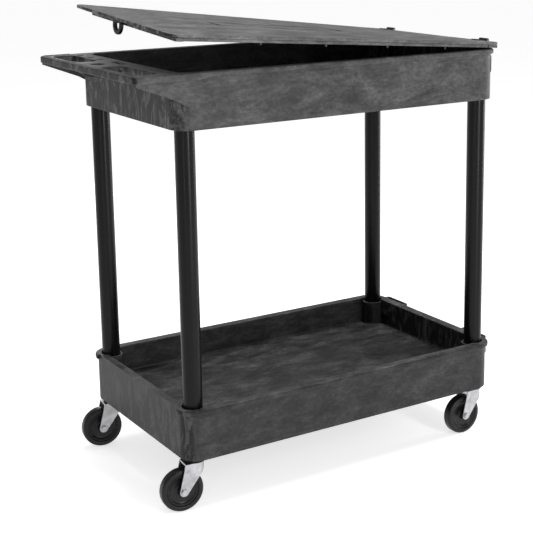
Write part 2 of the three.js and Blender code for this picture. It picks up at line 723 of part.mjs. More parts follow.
// ---------------------------------------------------------------- the assembly
function lidGroup() {
  const pivot = new THREE.Group();
  pivot.position.set(HINGE_X, 0, HINGE_Z);
  pivot.rotation.y = LID_OPEN;
  const flat = new THREE.Group();
  flat.position.set(-HINGE_X, 0, -HINGE_Z);
  pivot.add(flat);
  const screws = [];
  [-1, 1].forEach((side) => SCREW_X.forEach((x) => screws.push([x, side * SCREW_Y])));
  const holeTop = PANEL_BOTTOM + SCREW_BITE + GAP;
  const holes = screws.map(([x, y]) => post(x, y, SCREW_R + GAP, BATTEN_BOTTOM - 5, holeTop, SCREW_SIDES));
  const { x0, x1, y0, y1 } = SIDE_BATTEN;
  flat.add(named("lid_panel", warped(cutAll(lidPanel(), holes)), lidPlastic()));
  flat.add(named("lid_batten_front", warped(cutAll(batten(x0, -y1, x1, -y0), holes)), lidPlastic()));
  flat.add(named("lid_batten_back", warped(cutAll(batten(x0, y0, x1, y1), holes)), lidPlastic()));
  const hingeBatten = batten(x1 + 1, -y1, LID_X1 - 1.5, y1);
  flat.add(named("lid_batten_hinge", hingeBatten, lidPlastic()));
  const bar = batten(END_BAR.x0, END_BAR.y0, END_BAR.x1, END_BAR.y1);
  flat.add(named("lid_end_bar", warped(bar), lidPlastic()));
  flat.add(named("hasp", warped(haspLoop()), blackSteel()));
  screws.forEach(([x, y], index) => {
    const row = y < 0 ? "front" : "back";
    flat.add(named(`lid_screw_${row}_${(index % SCREW_X.length) + 1}`, warped(lidScrew(x, y)), zinc()));
  });
  HINGES_Y.forEach((y) => {
    const side = y < 0 ? "front" : "back";
    flat.add(named(`hinge_lid_leaf_${side}`, lidLeaf(y), blackSteel()));
  });
  return pivot;
}

const cart = new THREE.Group();
cart.name = "tool_cart";
cart.add(named("top_tray", topTray(), upperPlastic()));
cart.add(named("bottom_tray", bottomTray(), lowerPlastic()));
CORNERS.forEach(({ tag, sx, sy }) => {
  cart.add(named(`leg_${tag}`, leg(sx, sy), legPlastic()));
  cart.add(named(`stem_plug_${tag}`, stemPlug(sx, sy), legPlastic()));
  cart.add(named(`caster_stem_${tag}`, casterStem(sx, sy), blackSteel()));
});
HINGES_Y.forEach((y) => {
  const side = y < 0 ? "front" : "back";
  cart.add(named(`hinge_tub_leaf_${side}`, fixedLeaf(y), blackSteel()));
  cart.add(named(`hinge_pin_${side}`, hingePin(y), zinc()));
});
cart.add(lidGroup());
CORNERS.forEach((corner) => cart.add(casterGroup(corner)));

export default cart;
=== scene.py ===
import json
import math

import bmesh
import bpy
from mathutils import Matrix, Vector


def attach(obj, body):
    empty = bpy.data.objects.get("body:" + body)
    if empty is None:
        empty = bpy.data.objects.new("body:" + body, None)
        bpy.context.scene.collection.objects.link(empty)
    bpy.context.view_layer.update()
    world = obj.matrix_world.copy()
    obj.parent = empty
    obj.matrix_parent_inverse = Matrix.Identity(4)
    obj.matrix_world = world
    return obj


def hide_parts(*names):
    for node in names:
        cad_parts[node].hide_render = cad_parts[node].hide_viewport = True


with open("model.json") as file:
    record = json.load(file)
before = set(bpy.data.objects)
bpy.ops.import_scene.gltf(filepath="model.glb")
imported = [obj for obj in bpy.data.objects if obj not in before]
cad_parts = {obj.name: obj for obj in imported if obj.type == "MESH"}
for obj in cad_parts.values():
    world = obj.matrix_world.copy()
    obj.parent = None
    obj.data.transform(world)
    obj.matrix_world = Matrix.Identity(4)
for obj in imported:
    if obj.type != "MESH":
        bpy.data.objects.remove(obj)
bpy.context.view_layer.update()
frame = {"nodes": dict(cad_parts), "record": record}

# All lengths below are millimetres in the cart's own frame, and become metres in the meshes.
MM = 0.001

# ---------------------------------------------------------------- sizes, as in the CAD part
GAP = 0.3
TUB_X = 34.5
TUB_HALF_X = 383.0
TUB_HALF_Y = 228.8
TUB_CORNER_R, LEAST_CORNER_R = 37.5, 4.0
BAND_OUT = 6.0
BAND_TALL = 10.0
SKIN = 4.0
WALL_DEEP = 17.8
TUB_DEPTH = 60.0
LOW_BOTTOM, LOW_TOP = 108.9, 213.2
HIGH_BOTTOM, HIGH_TOP = 763.4, 870.9
RIB_DROP, RIB_PITCH, RIBS_EACH_SIDE, RIB_HALF = 10.0, 78.0, 4, 1.6

LEG_X, LEG_Y = 353.5, 195.0
LEG_R, LEG_WALL = 19.45, 2.2
SOCKET_R, SOCKET_FLOOR = 25.0, 3.2
HIGH_SOCKET_DEEP = 40.6
RECESS_R, RECESS = 22.2, 4.6

HANDLE_END_X = TUB_X - 470.0
HANDLE_THICK = 13.0
HANDLE_CORNER_R = 17.0
HANDLE_RIBS_Y, HANDLE_RIB_DROP, HANDLE_RIB_HALF = (-178.0, -61.0, 61.0, 178.0), 26, 1.8
SIDE_WEB_DROP, SIDE_WEB_THICK = 35, 4.5
GRIP_X0, GRIP_X1 = TUB_X - 452.0, TUB_X - 405.0
GRIPS = ((-202.0, -36.0, 14.0), (70.0, 210.0, 20.0))
CUP_X, CUP_Y, CUP_R = TUB_X - 430.0, 17.0, 14.0
SMALL_HOLES_X, SMALL_HOLE_R = TUB_X - 394.0, 5.5
SMALL_HOLES_Y = (92.0, 138.0, 192.0)
SLOT_X, SLOT_Y, SLOT_WIDE, SLOT_LONG = TUB_X - 390.0, 8.0, 12.0, 50.0

LUG_OUT, LUG_BAR, LUG_THICK = 401.0, 4.5, 8.0
LUG_SPANS = ((110.0, 190.0), (-190.0, -110.0))
PAD_OUT, PAD_HALF_Y = 3.4, 205.0
LOW_PAD, HIGH_PAD = (176.0, 196.0), (815.0, 858.0)

LID_OPEN = math.radians(5.55)
HINGE_X, HINGE_Z = TUB_X + 391.0, 885.6
LID_X0, LID_X1, LID_HALF_Y = TUB_X - 394.0, TUB_X + 386.4, 231.0
LID_CORNERS = (27.0, 12.0, 22.0, 27.0)
NOTCH_Y0, NOTCH_Y1, NOTCH_DEEP = -66.0, 4.0, 4.0
BATTEN_BOTTOM, BATTEN_THICK, BATTEN_WIDE = HIGH_TOP + 0.5, 6.0, 34.0
PANEL_BOTTOM, PANEL_THICK = BATTEN_BOTTOM + BATTEN_THICK + GAP, 6.5
PANEL_TOP = PANEL_BOTTOM + PANEL_THICK
LID_WARP, WARP_X, WARP_STEP = 15.8, LID_X1 - 28.0, 30.0
SCREWS_X = tuple(TUB_X + x for x in (-188.0, -38.0, 112.0, 262.0))
SCREW_Y, SCREW_R, SCREW_BITE, SCREW_TAIL = 201.0, 2.8, 3.0, 7.5
SCREW_PITCH, SCREW_CORE_R = 0.9, SCREW_R * 0.86
HASP_HALF, HASP_EYE, HASP_EYE_TOP, HASP_THICK, HASP_DROP = 19.0, 10.5, 2.5, 7.4, 20.5
END_BAR_X0, END_BAR_X1, END_BAR_Y0, END_BAR_Y1 = LID_X0 + 8.6, LID_X0 + 26, -LID_HALF_Y - 2, 150
# the blank sunk field on the lid, and the raised flat inside its groove
FIELD = (TUB_X - 196, -52, TUB_X + 104, 18, 10.0)
FIELD_FLAT = (TUB_X - 188, -44, TUB_X + 96, 10, 6.0)
FIELD_DEEP, FIELD_EDGE = 1.8, 0.6

HINGES_Y = (-172.0, 172.0)
HINGE_LONG, KNUCKLE_R, PIN_R, PIN_HOLE_R, LEAF_THICK = 26.0, 4.0, 1.6, 1.95, 1.5

WHEEL_R, TREAD_WIDE, TRAIL = 44.0, 22.0, 29.5
FORK_OUT, FORK_SKIN, CROWN_Z, CROWN_LEAD, CROWN_TAIL = 18.0, 2.5, 100.0, 17.0, 25.0
FORK_END_R, FORK_ROUND, AXLE_R = 9.3, 14.0, 4.0
BOLT_HEAD_R, BOLT_HEAD_OUT, BOLT_TAIL, NUT_R, NUT_TALL = 6.6, 3.6, 6.5, 7.0, 5.0
WASHER_R, WASHER_THICK = 6.5, 1.0
RACE_R, STEM_R, STEM_TOP = 23.0, 5.5, 150.0
# corner, its side in X and in Y, and the way its caster heads, in degrees
CORNERS = (
    ("front_left", -1, -1, 84.0),
    ("front_right", 1, -1, 91.0),
    ("back_left", -1, 1, 83.0),
    ("back_right", 1, 1, 88.0),
)
SHARP = math.radians(32.0)  # edges that bend by more than this stay hard

# turns that lay a Z axis along Y, and that stand a flat plate in the YZ plane
LAID = Matrix.Rotation(-math.pi / 2, 4, "X")
STOOD = Matrix.Rotation(math.pi / 2, 4, "Z") @ Matrix.Rotation(math.pi / 2, 4, "X")


# ---------------------------------------------------------------- materials
WHITE = (1.0, 1.0, 1.0, 1.0)
END_WALL_PAINTED_SHADE = 0.55  # painted shade: the end walls' colour is darkened by this factor, for the weaker light they get than the long ones


def new_material(name):
    material = bpy.data.materials.new(name)
    material.use_nodes = True
    tree = material.node_tree
    return material, tree, tree.nodes["Principled BSDF"]


def put(tree, kind, **values):
    """A node with its settings; a key that names an input sets that input."""
    node = tree.nodes.new(kind)
    for key, value in values.items():
        if hasattr(node, key):
            setattr(node, key, value)
        else:
            node.inputs[key.replace("_", " ")].default_value = value
    return node


def object_points(tree, scale):
    coord = put(tree, "ShaderNodeTexCoord")
    mapping = put(tree, "ShaderNodeMapping", Scale=scale)
    tree.links.new(coord.outputs["Object"], mapping.inputs["Vector"])
    return mapping.outputs["Vector"]


def noise(tree, vector, scale, detail=4.0, roughness=0.55, distortion=0.0):
    node = put(
        tree, "ShaderNodeTexNoise", Scale=scale, Detail=detail, Roughness=roughness, Distortion=distortion,
    )
    tree.links.new(vector, node.inputs["Vector"])
    return node.outputs["Fac"]


def ramp(tree, fac, stops):
    node = tree.nodes.new("ShaderNodeValToRGB")
    elements = node.color_ramp.elements
    while len(elements) < len(stops):
        elements.new(0.5)
    for element, (place, value) in zip(elements, stops):
        element.position = place
        rgb = value if isinstance(value, tuple) else (value, value, value)
        element.color = (*rgb, 1.0)
    tree.links.new(fac, node.inputs["Fac"])
    return node.outputs["Color"]


def mix(tree, fac, a, b, blend="MIX"):
    node = tree.nodes.new("ShaderNodeMix")
    node.data_type = "RGBA"
    node.blend_type = blend
    if isinstance(fac, float):
        node.inputs[0].default_value = fac
    else:
        tree.links.new(fac, node.inputs[0])
    tree.links.new(a, node.inputs[6])
    tree.links.new(b, node.inputs[7])
    return node.outputs[2]


def spread(tree, fac, low, high, a=0.3, b=0.7):
    node = put(tree, "ShaderNodeMapRange")
    node.inputs["From Min"].default_value = a
    node.inputs["From Max"].default_value = b
    node.inputs["To Min"].default_value = low
    node.inputs["To Max"].default_value = high
    tree.links.new(fac, node.inputs["Value"])
    return node.outputs["Result"]


def bumped(tree, shader, height, strength, distance, before=None):
    node = put(tree, "ShaderNodeBump", Strength=strength, Distance=distance)
    tree.links.new(height, node.inputs["Height"])
    if before is not None:
        tree.links.new(before, node.inputs["Normal"])
    tree.links.new(node.outputs["Normal"], shader.inputs["Normal"])
    return node.outputs["Normal"]


def moulded(name, dark, mid, light, swirl, rough, contrast=1.0, wear_and_painted_light=0.0):
    """Structural-foam plastic: cloudy patches, flow streaks that run up the end walls and along the long
    ones, a fine grain, and a sheen that follows the flow. The end walls carry painted shade, and on the worn
    tub the flats that face up carry scuffs under a painted light that brightens them."""
    material, tree, shader = new_material(name)
    links = tree.links
    coord = put(tree, "ShaderNodeTexCoord")
    split = put(tree, "ShaderNodeSeparateXYZ")
    links.new(coord.outputs["Normal"], split.inputs["Vector"])
    end_wall = put(tree, "ShaderNodeMath", operation="ABSOLUTE")
    links.new(split.outputs["X"], end_wall.inputs[0])
    face = spread(tree, end_wall.outputs[0], 0.0, 1.0, 0.45, 0.75)
    along = noise(tree, object_points(tree, (1.0, 2.6, 3.4)), swirl, 6.0, 0.62, 2.2)
    upward = noise(tree, object_points(tree, (5.0, 5.5, 2.2)), swirl, 6.0, 0.66, 1.4)
    streaks = mix(tree, face, along, upward)
    # painted shade: faces turned along X, the end walls, have their colour multiplied down by the end-wall
    # factor
    end_wall_painted_shade = ramp(tree, face, ((0.0, 1.0), (1.0, END_WALL_PAINTED_SHADE)))
    clouds = noise(tree, object_points(tree, (1.0, 1.5, 1.6)), 9.0, 6.0, 0.62, 1.1)
    grain = noise(tree, object_points(tree, (1.0, 1.0, 1.0)), 950.0, 2.0, 0.5)
    specks = noise(tree, object_points(tree, (0.6, 1.0, 1.0)), 190.0, 5.0, 0.65, 0.4)
    base = ramp(tree, clouds, ((0.36, dark), (0.50, mid), (0.66, light)))
    flow = ramp(tree, streaks, ((0.36, dark), (0.50, mid), (0.66, light)))
    bold = ramp(tree, upward, ((0.40, 0.25 * dark), (0.50, 0.7 * mid), (0.61, 1.9 * light)))
    colour = mix(tree, 0.5 * contrast, base, flow)
    colour = mix(tree, face, colour, bold)
    colour = mix(tree, 1.0, colour, end_wall_painted_shade, "MULTIPLY")
    # painted light: flats facing up are brightened, up to 1 + 4.4 times the last argument, in a mottle like
    # scuffs; partly scuffed wear, partly light painted onto the lower tub's shaded floor
    up = spread(tree, split.outputs["Z"], 0.0, 1.0, 0.8, 0.95)
    scuff_and_light_pattern = noise(tree, object_points(tree, (1.0, 1.9, 1.0)), 9.0, 9.0, 0.74, 0.25)
    scuffs_and_painted_light = ramp(tree, scuff_and_light_pattern, ((0.34, 1.0), (0.50, 1.0 + 2.0 * wear_and_painted_light), (0.64, 1.0 + 4.4 * wear_and_painted_light)))
    plain = put(tree, "ShaderNodeMix", data_type="RGBA")
    plain.inputs[6].default_value = WHITE
    links.new(up, plain.inputs[0])
    links.new(scuffs_and_painted_light, plain.inputs[7])
    colour = mix(tree, 1.0, colour, plain.outputs[2], "MULTIPLY")
    fine = ramp(tree, specks, ((0.36, 0.62), (0.5, 0.95), (0.66, 1.38)))
    links.new(mix(tree, 0.85, colour, fine, "MULTIPLY"), shader.inputs["Base Color"])
    shader.inputs["Specular IOR Level"].default_value = 0.22
    links.new(spread(tree, streaks, rough - 0.09, rough + 0.09), shader.inputs["Roughness"])
    first = bumped(tree, shader, specks, 0.34, 0.0006)
    second = bumped(tree, shader, grain, 0.25, 0.00022, first)
    bumped(tree, shader, streaks, 0.35, 0.0010, second)
    return material


def glossy_tube(name, colour, rough):
    """Extruded black plastic tube: faint drawing lines along its length under a high gloss."""
    material, tree, shader = new_material(name)
    links = tree.links
    lines = noise(tree, object_points(tree, (1.0, 1.0, 0.012)), 420.0, 3.0, 0.6)
    smears = noise(tree, object_points(tree, (1.0, 1.0, 0.35)), 26.0, 4.0, 0.6, 0.5)
    tint = tuple(c * 1.7 for c in colour)
    links.new(ramp(tree, smears, ((0.35, colour), (0.65, tint))), shader.inputs["Base Color"])
    links.new(spread(tree, smears, rough - 0.05, rough + 0.08), shader.inputs["Roughness"])
    shader.inputs["Specular IOR Level"].default_value = 0.16
    bumped(tree, shader, lines, 0.06, 0.0001)
    return material


def metal(name, low, high, rough, scale, bump):
    """Plated or coated steel: cloudy plating, fine scratches and an uneven polish."""
    material, tree, shader = new_material(name)
    links = tree.links
    clouds = noise(tree, object_points(tree, (1.0, 1.0, 1.0)), scale, 5.0, 0.6, 0.7)
    scratch = noise(tree, object_points(tree, (1.0, 1.0, 0.08)), 900.0, 3.0, 0.6)
    links.new(ramp(tree, clouds, ((0.3, low), (0.7, high))), shader.inputs["Base Color"])
    links.new(spread(tree, clouds, rough - 0.07, rough + 0.1), shader.inputs["Roughness"])
    shader.inputs["Metallic"].default_value = 1.0
    bumped(tree, shader, scratch, bump, 0.0002)
    return material


def dark_moulding(name, low, high, rough, scale, bump):
    """Black plastic, rubber or paint: a faint mottle and a fine pitted skin."""
    material, tree, shader = new_material(name)
    links = tree.links
    clouds = noise(tree, object_points(tree, (1.0, 1.0, 1.0)), scale, 5.0, 0.6, 0.8)
    pits = noise(tree, object_points(tree, (1.0, 1.0, 1.0)), 1400.0, 2.0, 0.5)
    links.new(ramp(tree, clouds, ((0.32, low), (0.68, high))), shader.inputs["Base Color"])
    links.new(spread(tree, clouds, rough - 0.08, rough + 0.1), shader.inputs["Roughness"])
    shader.inputs["Specular IOR Level"].default_value = 0.25
    bumped(tree, shader, pits, bump, 0.00022)
    return material


MATERIALS = {
    "upper_plastic": moulded("moulded_upper", 0.022, 0.047, 0.092, 7.0, 0.50),
    # its last argument adds scuffs and painted light to the lower tub's flats that face up
    "lower_plastic": moulded("moulded_lower", 0.010, 0.022, 0.048, 7.0, 0.48, 1.0, 1.0),
    "lid_plastic": moulded("moulded_lid", 0.035, 0.090, 0.190, 6.0, 0.47, 1.3),
    "leg_plastic": glossy_tube("gloss_tube", (0.0012, 0.0013, 0.0014), 0.27),
    "black_steel": dark_moulding("coated_steel", 0.004, 0.012, 0.36, 60.0, 0.2),
    "zinc_steel": metal("zinc_plate", (0.30, 0.30, 0.31), (0.50, 0.50, 0.51), 0.34, 55.0, 0.25),
    "wheel_plastic": dark_moulding("wheel_moulding", 0.004, 0.010, 0.30, 70.0, 0.25),
    "tyre_rubber": dark_moulding("tyre_moulding", 0.004, 0.010, 0.34, 50.0, 0.3),
}


# ---------------------------------------------------------------- mesh helpers
def link(name, bm, place=None):
    """A mesh object from a bmesh in millimetres."""
    bmesh.ops.remove_doubles(bm, verts=bm.verts, dist=1e-3)
    bmesh.ops.recalc_face_normals(bm, faces=bm.faces)
    mesh = bpy.data.meshes.new(name)
    bm.to_mesh(mesh)
    bm.free()
    mesh.transform(Matrix.Scale(MM, 4))
    if place is not None:
        mesh.transform(place)
    obj = bpy.data.objects.new(name, mesh)
    bpy.context.scene.collection.objects.link(obj)
    return obj


def drop(obj):
    mesh = obj.data
    bpy.data.objects.remove(obj)
    if mesh.users == 0:
        bpy.data.meshes.remove(mesh)


def settle(obj):
    """Makes an object's modifiers part of its mesh."""
    bpy.context.view_layer.update()
    graph = bpy.context.evaluated_depsgraph_get()
    mesh = bpy.data.meshes.new_from_object(obj.evaluated_get(graph))
    obj.modifiers.clear()
    old = obj.data
    obj.data = mesh
    bpy.data.meshes.remove(old)
    return obj


def combine(obj, others, operation):
    """Joins other closed solids to obj, or cuts them out of it."""
    for other in others:
        modifier = obj.modifiers.new("cut", "BOOLEAN")
        modifier.operation = operation
        modifier.solver = "EXACT"
        modifier.object = other
        settle(obj)
        drop(other)
    return obj


def round_edges(obj, width, angle=38.0):
    modifier = obj.modifiers.new("edges", "BEVEL")
    modifier.width = width * MM
    modifier.segments = 2
    modifier.limit_method = "ANGLE"
    modifier.angle_limit = math.radians(angle)
    return settle(obj)


def done(obj, slot, body, *nodes):
    """Shades a piece smooth with its hard edges kept, gives it its finish and seats it on its body."""
    bm = bmesh.new()
    bm.from_mesh(obj.data)
    bmesh.ops.remove_doubles(bm, verts=bm.verts, dist=2e-6)
    bmesh.ops.dissolve_degenerate(bm, edges=bm.edges, dist=1e-6)
    bmesh.ops.recalc_face_normals(bm, faces=bm.faces)
    for face in bm.faces:
        face.smooth = True
    for edge in bm.edges:
        edge.smooth = len(edge.link_faces) == 2 and edge.calc_face_angle(0.0) < SHARP
    bm.to_mesh(obj.data)
    bm.free()
    modifier = obj.modifiers.new("normals", "WEIGHTED_NORMAL")
    modifier.keep_sharp = True
    settle(obj)
    obj.data.materials.clear()
    obj.data.materials.append(MATERIALS[slot])
    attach(obj, body)
    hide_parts(*nodes)
    return obj


def arc(x, y, r, start, end, steps):
    angles = [math.radians(start + (end - start) * i / steps) for i in range(steps + 1)]
    return [(x + r * math.cos(a), y + r * math.sin(a)) for a in angles]


def circle(x, y, r, sides):
    return arc(x, y, r, 0, 360 - 360 / sides, sides - 1)


def rounded(x0, y0, x1, y1, r, steps=10):
    """A rectangle with round corners: r is one radius, or (x0y0, x1y0, x1y1, x0y1)."""
    a, b, c, d = r if isinstance(r, tuple) else (r, r, r, r)
    return (
        arc(x1 - b, y0 + b, b, -90, 0, steps)
        + arc(x1 - c, y1 - c, c, 0, 90, steps)
        + arc(x0 + d, y1 - d, d, 90, 180, steps)
        + arc(x0 + a, y0 + a, a, 180, 270, steps)
    )


def bridge(bm, rings, cyclic=False):
    """Skins equal rings of points one after the other."""
    rows = [[bm.verts.new(p) for p in ring] for ring in rings]
    count = len(rows[0])
    pairs = list(zip(rows, rows[1:]))
    if cyclic:
        pairs.append((rows[-1], rows[0]))
    for low, high in pairs:
        for i in range(count):
            j = (i + 1) % count
            bm.faces.new((low[i], low[j], high[j], high[i]))
    return rows


def at_height(outline, z):
    return [(x, y, z) for x, y in outline]


def capped(name, rings):
    """A closed solid skinned through rings of points, with both ends filled."""
    bm = bmesh.new()
    rows = bridge(bm, rings)
    bm.faces.new(rows[0])
    bm.faces.new(rows[-1])
    return link(name, bm)


def upright(outline, z0, z1):
    """An outline drawn in X and Y, pulled along Z."""
    return capped("prism", [at_height(outline, z) for z in (z0, z1)])


def sideways(outline, y0, y1):
    """An outline drawn in X and Z, pulled along Y."""
    return capped("prism", [[(x, y, z) for x, z in outline] for y in (y0, y1)])


def box(x0, y0, z0, x1, y1, z1):
    return upright([(x0, y0), (x1, y0), (x1, y1), (x0, y1)], z0, z1)


def slab(outline, holes, z0, z1, bevel, place=None, steps=3):
    """A plate between two heights with holes through it, all its edges rounded over."""
    curve = bpy.data.curves.new("slab", "CURVE")
    curve.dimensions = "2D"
    curve.fill_mode = "BOTH"
    curve.extrude = ((z1 - z0) / 2 - bevel) * MM
    curve.bevel_depth = bevel * MM
    curve.bevel_resolution = steps
    curve.offset = -bevel * MM
    for loop in (outline, *holes):
        spline = curve.splines.new("POLY")
        spline.points.add(len(loop) - 1)
        for point, (x, y) in zip(spline.points, loop):
            point.co = (x * MM, y * MM, 0.0, 1.0)
        spline.use_cyclic_u = True
    raw = bpy.data.objects.new("slab", curve)
    bpy.context.scene.collection.objects.link(raw)
    bpy.context.view_layer.update()
    graph = bpy.context.evaluated_depsgraph_get()
    mesh = bpy.data.meshes.new_from_object(raw.evaluated_get(graph))
    bpy.data.objects.remove(raw)
    bpy.data.curves.remove(curve)
    mesh.transform(Matrix.Translation((0, 0, (z0 + z1) / 2 * MM)))
    bm = bmesh.new()
    bm.from_mesh(mesh)
    bpy.data.meshes.remove(mesh)
    bmesh.ops.scale(bm, vec=(1 / MM,) * 3, verts=bm.verts)
    return link("slab", bm, place)


def turned(profile, sides, place=None, closed=False):
    """A skin turned round the Z axis through (radius, height) points."""
    bm = bmesh.new()
    rings = []
    for radius, z in profile:
        rings.append([
            (radius * math.cos(2 * math.pi * i / sides), radius * math.sin(2 * math.pi * i / sides), z)
            for i in range(sides)
        ])
    bridge(bm, rings, closed)
    return link("turned", bm, place)


def shift(x, y, z=0.0):
    return Matrix.Translation((x * MM, y * MM, z * MM))


def merge(objects):
    """Several separate shells as one object."""
    bm = bmesh.new()
    for obj in objects:
        bm.from_mesh(obj.data)
        drop(obj)
    mesh = bpy.data.meshes.new("merged")
    bm.to_mesh(mesh)
    bm.free()
    result = bpy.data.objects.new("merged", mesh)
    bpy.context.scene.collection.objects.link(result)
    return result


def legs_at():
    return [shift(TUB_X + sx * LEG_X, sy * LEG_Y) for _, sx, sy, _ in CORNERS]


def named(obj, name):
    obj.name = name
    obj.data.name = name
    return obj


# ---------------------------------------------------------------- the two tubs
def tub_outline(inset):
    """The tub's rounded plan, moved in from the wall's outer face, or out where inset is negative."""
    r = max(TUB_CORNER_R - inset, LEAST_CORNER_R)
    hx = TUB_HALF_X - inset
    hy = TUB_HALF_Y - inset
    return rounded(TUB_X - hx, -hy, TUB_X + hx, hy, r, 14)


def quarter(inset, z, r, start, end, steps=5):
    """(inset, height) points of a fillet whose centre is at (inset, z)."""
    return arc(inset, z, r, start, end, steps)


def tub_shell(bottom, top):
    """A floor, a double wall folded over at the rim, and a skirt below, with every edge rounded."""
    floor = top - TUB_DEPTH
    under = floor - SKIN
    fold = top - SKIN
    inner = WALL_DEEP - SKIN
    profile = [(inner, under), (inner, fold), (SKIN, fold)]
    profile += quarter(SKIN - 1.2, bottom + 1.2, 1.2, 0, -90, 3)
    profile += quarter(1.4, bottom + 1.4, 1.4, -90, -180, 3)
    profile += [(0.0, top - 2.0)]
    profile += quarter(2.0, top - 2.0, 2.0, 180, 90)
    profile += quarter(WALL_DEEP - 2.2, top - 2.2, 2.2, 90, 0)
    profile += quarter(WALL_DEEP + 5.0, floor + 5.0, 5.0, 180, 270, 8)
    return capped("tub", [at_height(tub_outline(inset), z) for inset, z in profile])


def rim_band(top):
    """The lip rolled outward round the rim."""
    low = top - BAND_TALL
    profile = [(2.0, low + 0.6), (-0.6, low)]
    profile += quarter(-BAND_OUT + 2.4, low + 2.4, 2.4, 270, 180)
    profile += quarter(-BAND_OUT + 3.0, top - 3.0, 3.0, 180, 90, 6)
    profile += [(2.0, top)]
    bm = bmesh.new()
    bridge(bm, [at_height(tub_outline(inset), z) for inset, z in profile], True)
    return link("band", bm)


def floor_ribs(floor):
    """Low ribs across the underside of the floor, and one along its middle."""
    z0 = floor - SKIN - RIB_DROP
    z1 = floor - 1.0
    reach_x = TUB_HALF_X - 2.0
    reach_y = TUB_HALF_Y - 2.0
    spine = box(TUB_X - reach_x, -RIB_HALF, z0, TUB_X + reach_x, RIB_HALF, z1)
    bars = []
    for i in range(-RIBS_EACH_SIDE, RIBS_EACH_SIDE + 1):
        x = TUB_X + i * RIB_PITCH
        bars.append(box(x - RIB_HALF, -reach_y, z0, x + RIB_HALF, reach_y, z1))
    return [spine, merge(bars)]


def end_pad(z0, z1):
    """The proud panel on the hinge end's wall."""
    outline = rounded(-PAD_HALF_Y, z0, PAD_HALF_Y, z1, 8.0)
    return slab(outline, (), -4.0, PAD_OUT, 1.3, shift(TUB_X + TUB_HALF_X, 0) @ STOOD)


def end_lugs(top):
    """Open loops on the hinge end of the lower tub's rim."""
    loops = []
    x0 = TUB_X + TUB_HALF_X + 1.0
    x1 = TUB_X + LUG_OUT
    slot0 = TUB_X + TUB_HALF_X + BAND_OUT + 0.5
    for y0, y1 in LUG_SPANS:
        outline = rounded(x0, y0, x1, y1, (1.2, 6.0, 6.0, 1.2))
        slot = rounded(slot0, y0 + 7, x1 - LUG_BAR, y1 - 7, 1.8)
        loops.append(slab(outline, (slot,), top - LUG_THICK, top - 0.8, 1.2))
    return loops


def bottom_tray():
    floor = LOW_TOP - TUB_DEPTH
    tray = tub_shell(LOW_BOTTOM, LOW_TOP)
    flush = box(
        TUB_X - TUB_HALF_X - 20, -TUB_HALF_Y + TUB_CORNER_R, LOW_TOP - 30,
        TUB_X - TUB_HALF_X, TUB_HALF_Y - TUB_CORNER_R, LOW_TOP + 5,
    )
    band = combine(rim_band(LOW_TOP), [flush], "DIFFERENCE")
    boss_top = LOW_TOP - RECESS
    boss = [(0.0, LOW_BOTTOM)]
    boss += quarter(SOCKET_R - 1.2, LOW_BOTTOM + 1.2, 1.2, -90, 0, 3)
    boss += [(SOCKET_R, floor - 2.0), (SOCKET_R + 6.5, floor - 1.5), (SOCKET_R + 6.0, floor)]
    boss += [(SOCKET_R + 3.0, floor + 0.7), (SOCKET_R + 1.0, floor + 2.4), (SOCKET_R, floor + 5.5)]
    boss += quarter(SOCKET_R - 1.3, boss_top - 1.3, 1.3, 0, 90, 4)
    boss += [(0.0, boss_top)]
    sockets = merge([turned(boss, 72, place) for place in legs_at()])
    combine(sockets, [upright(tub_outline(2.0), LOW_BOTTOM - 5, LOW_TOP + 5)], "INTERSECT")
    combine(tray, [band, sockets, *floor_ribs(floor), end_pad(*LOW_PAD), *end_lugs(LOW_TOP)], "UNION")
    bore = LEG_R + GAP
    recess = [(0.0, boss_top), (RECESS_R, boss_top), (RECESS_R, LOW_TOP + 5), (0.0, LOW_TOP + 5)]
    hole = [
        (0.0, LOW_BOTTOM + SOCKET_FLOOR), (bore, LOW_BOTTOM + SOCKET_FLOOR), (bore, boss_top - 1.0),
        (bore + 1.0, boss_top), (bore + 1.0, boss_top + 1.0), (0.0, boss_top + 1.0),
    ]
    pin = [
        (0.0, LOW_BOTTOM - 5), (STEM_R + 1, LOW_BOTTOM - 5),
        (STEM_R + 1, LOW_BOTTOM + 10), (0.0, LOW_BOTTOM + 10),
    ]
    cuts = [merge([turned(shape, 72, place) for place in legs_at()]) for shape in (recess, hole, pin)]
    combine(tray, cuts, "DIFFERENCE")
    return done(named(tray, "lower_tub"), "lower_plastic", "cart", "bottom_tray")


def slot_outline():
    """The hasp's slot."""
    x, y = SLOT_WIDE / 2, SLOT_LONG / 2
    return rounded(SLOT_X - x, SLOT_Y - y, SLOT_X + x, SLOT_Y + y, 4.0, 5)


def small_outlines():
    return [circle(SMALL_HOLES_X, y, SMALL_HOLE_R, 24) for y in SMALL_HOLES_Y]


def handle_plate():
    """The flat of the push handle, which runs on round the tub's rim, with everything cut through it."""
    half = TUB_HALF_Y + BAND_OUT
    wall = TUB_X - TUB_HALF_X
    x1 = wall + 60.0
    inset = WALL_DEEP - 1.5
    open_x = wall + inset
    open_y = TUB_HALF_Y - inset
    r = TUB_CORNER_R - inset
    outline = (
        arc(HANDLE_END_X + HANDLE_CORNER_R, half - HANDLE_CORNER_R, HANDLE_CORNER_R, 90, 180, 12)
        + arc(HANDLE_END_X + HANDLE_CORNER_R, -half + HANDLE_CORNER_R, HANDLE_CORNER_R, 180, 270, 12)
        + [(x1, -half), (x1, -open_y)]
        + arc(open_x + r, -open_y + r, r, 270, 180, 10)
        + arc(open_x + r, open_y - r, r, 180, 90, 10)
        + [(x1, open_y), (x1, half)]
    )
    holes = [rounded(GRIP_X0, y0, GRIP_X1, y1, end) for y0, y1, end in GRIPS]
    holes.append(circle(CUP_X, CUP_Y, CUP_R, 48))
    holes += small_outlines()
    holes.append(slot_outline())
    return slab(outline, holes, HIGH_TOP - HANDLE_THICK, HIGH_TOP, 2.0)


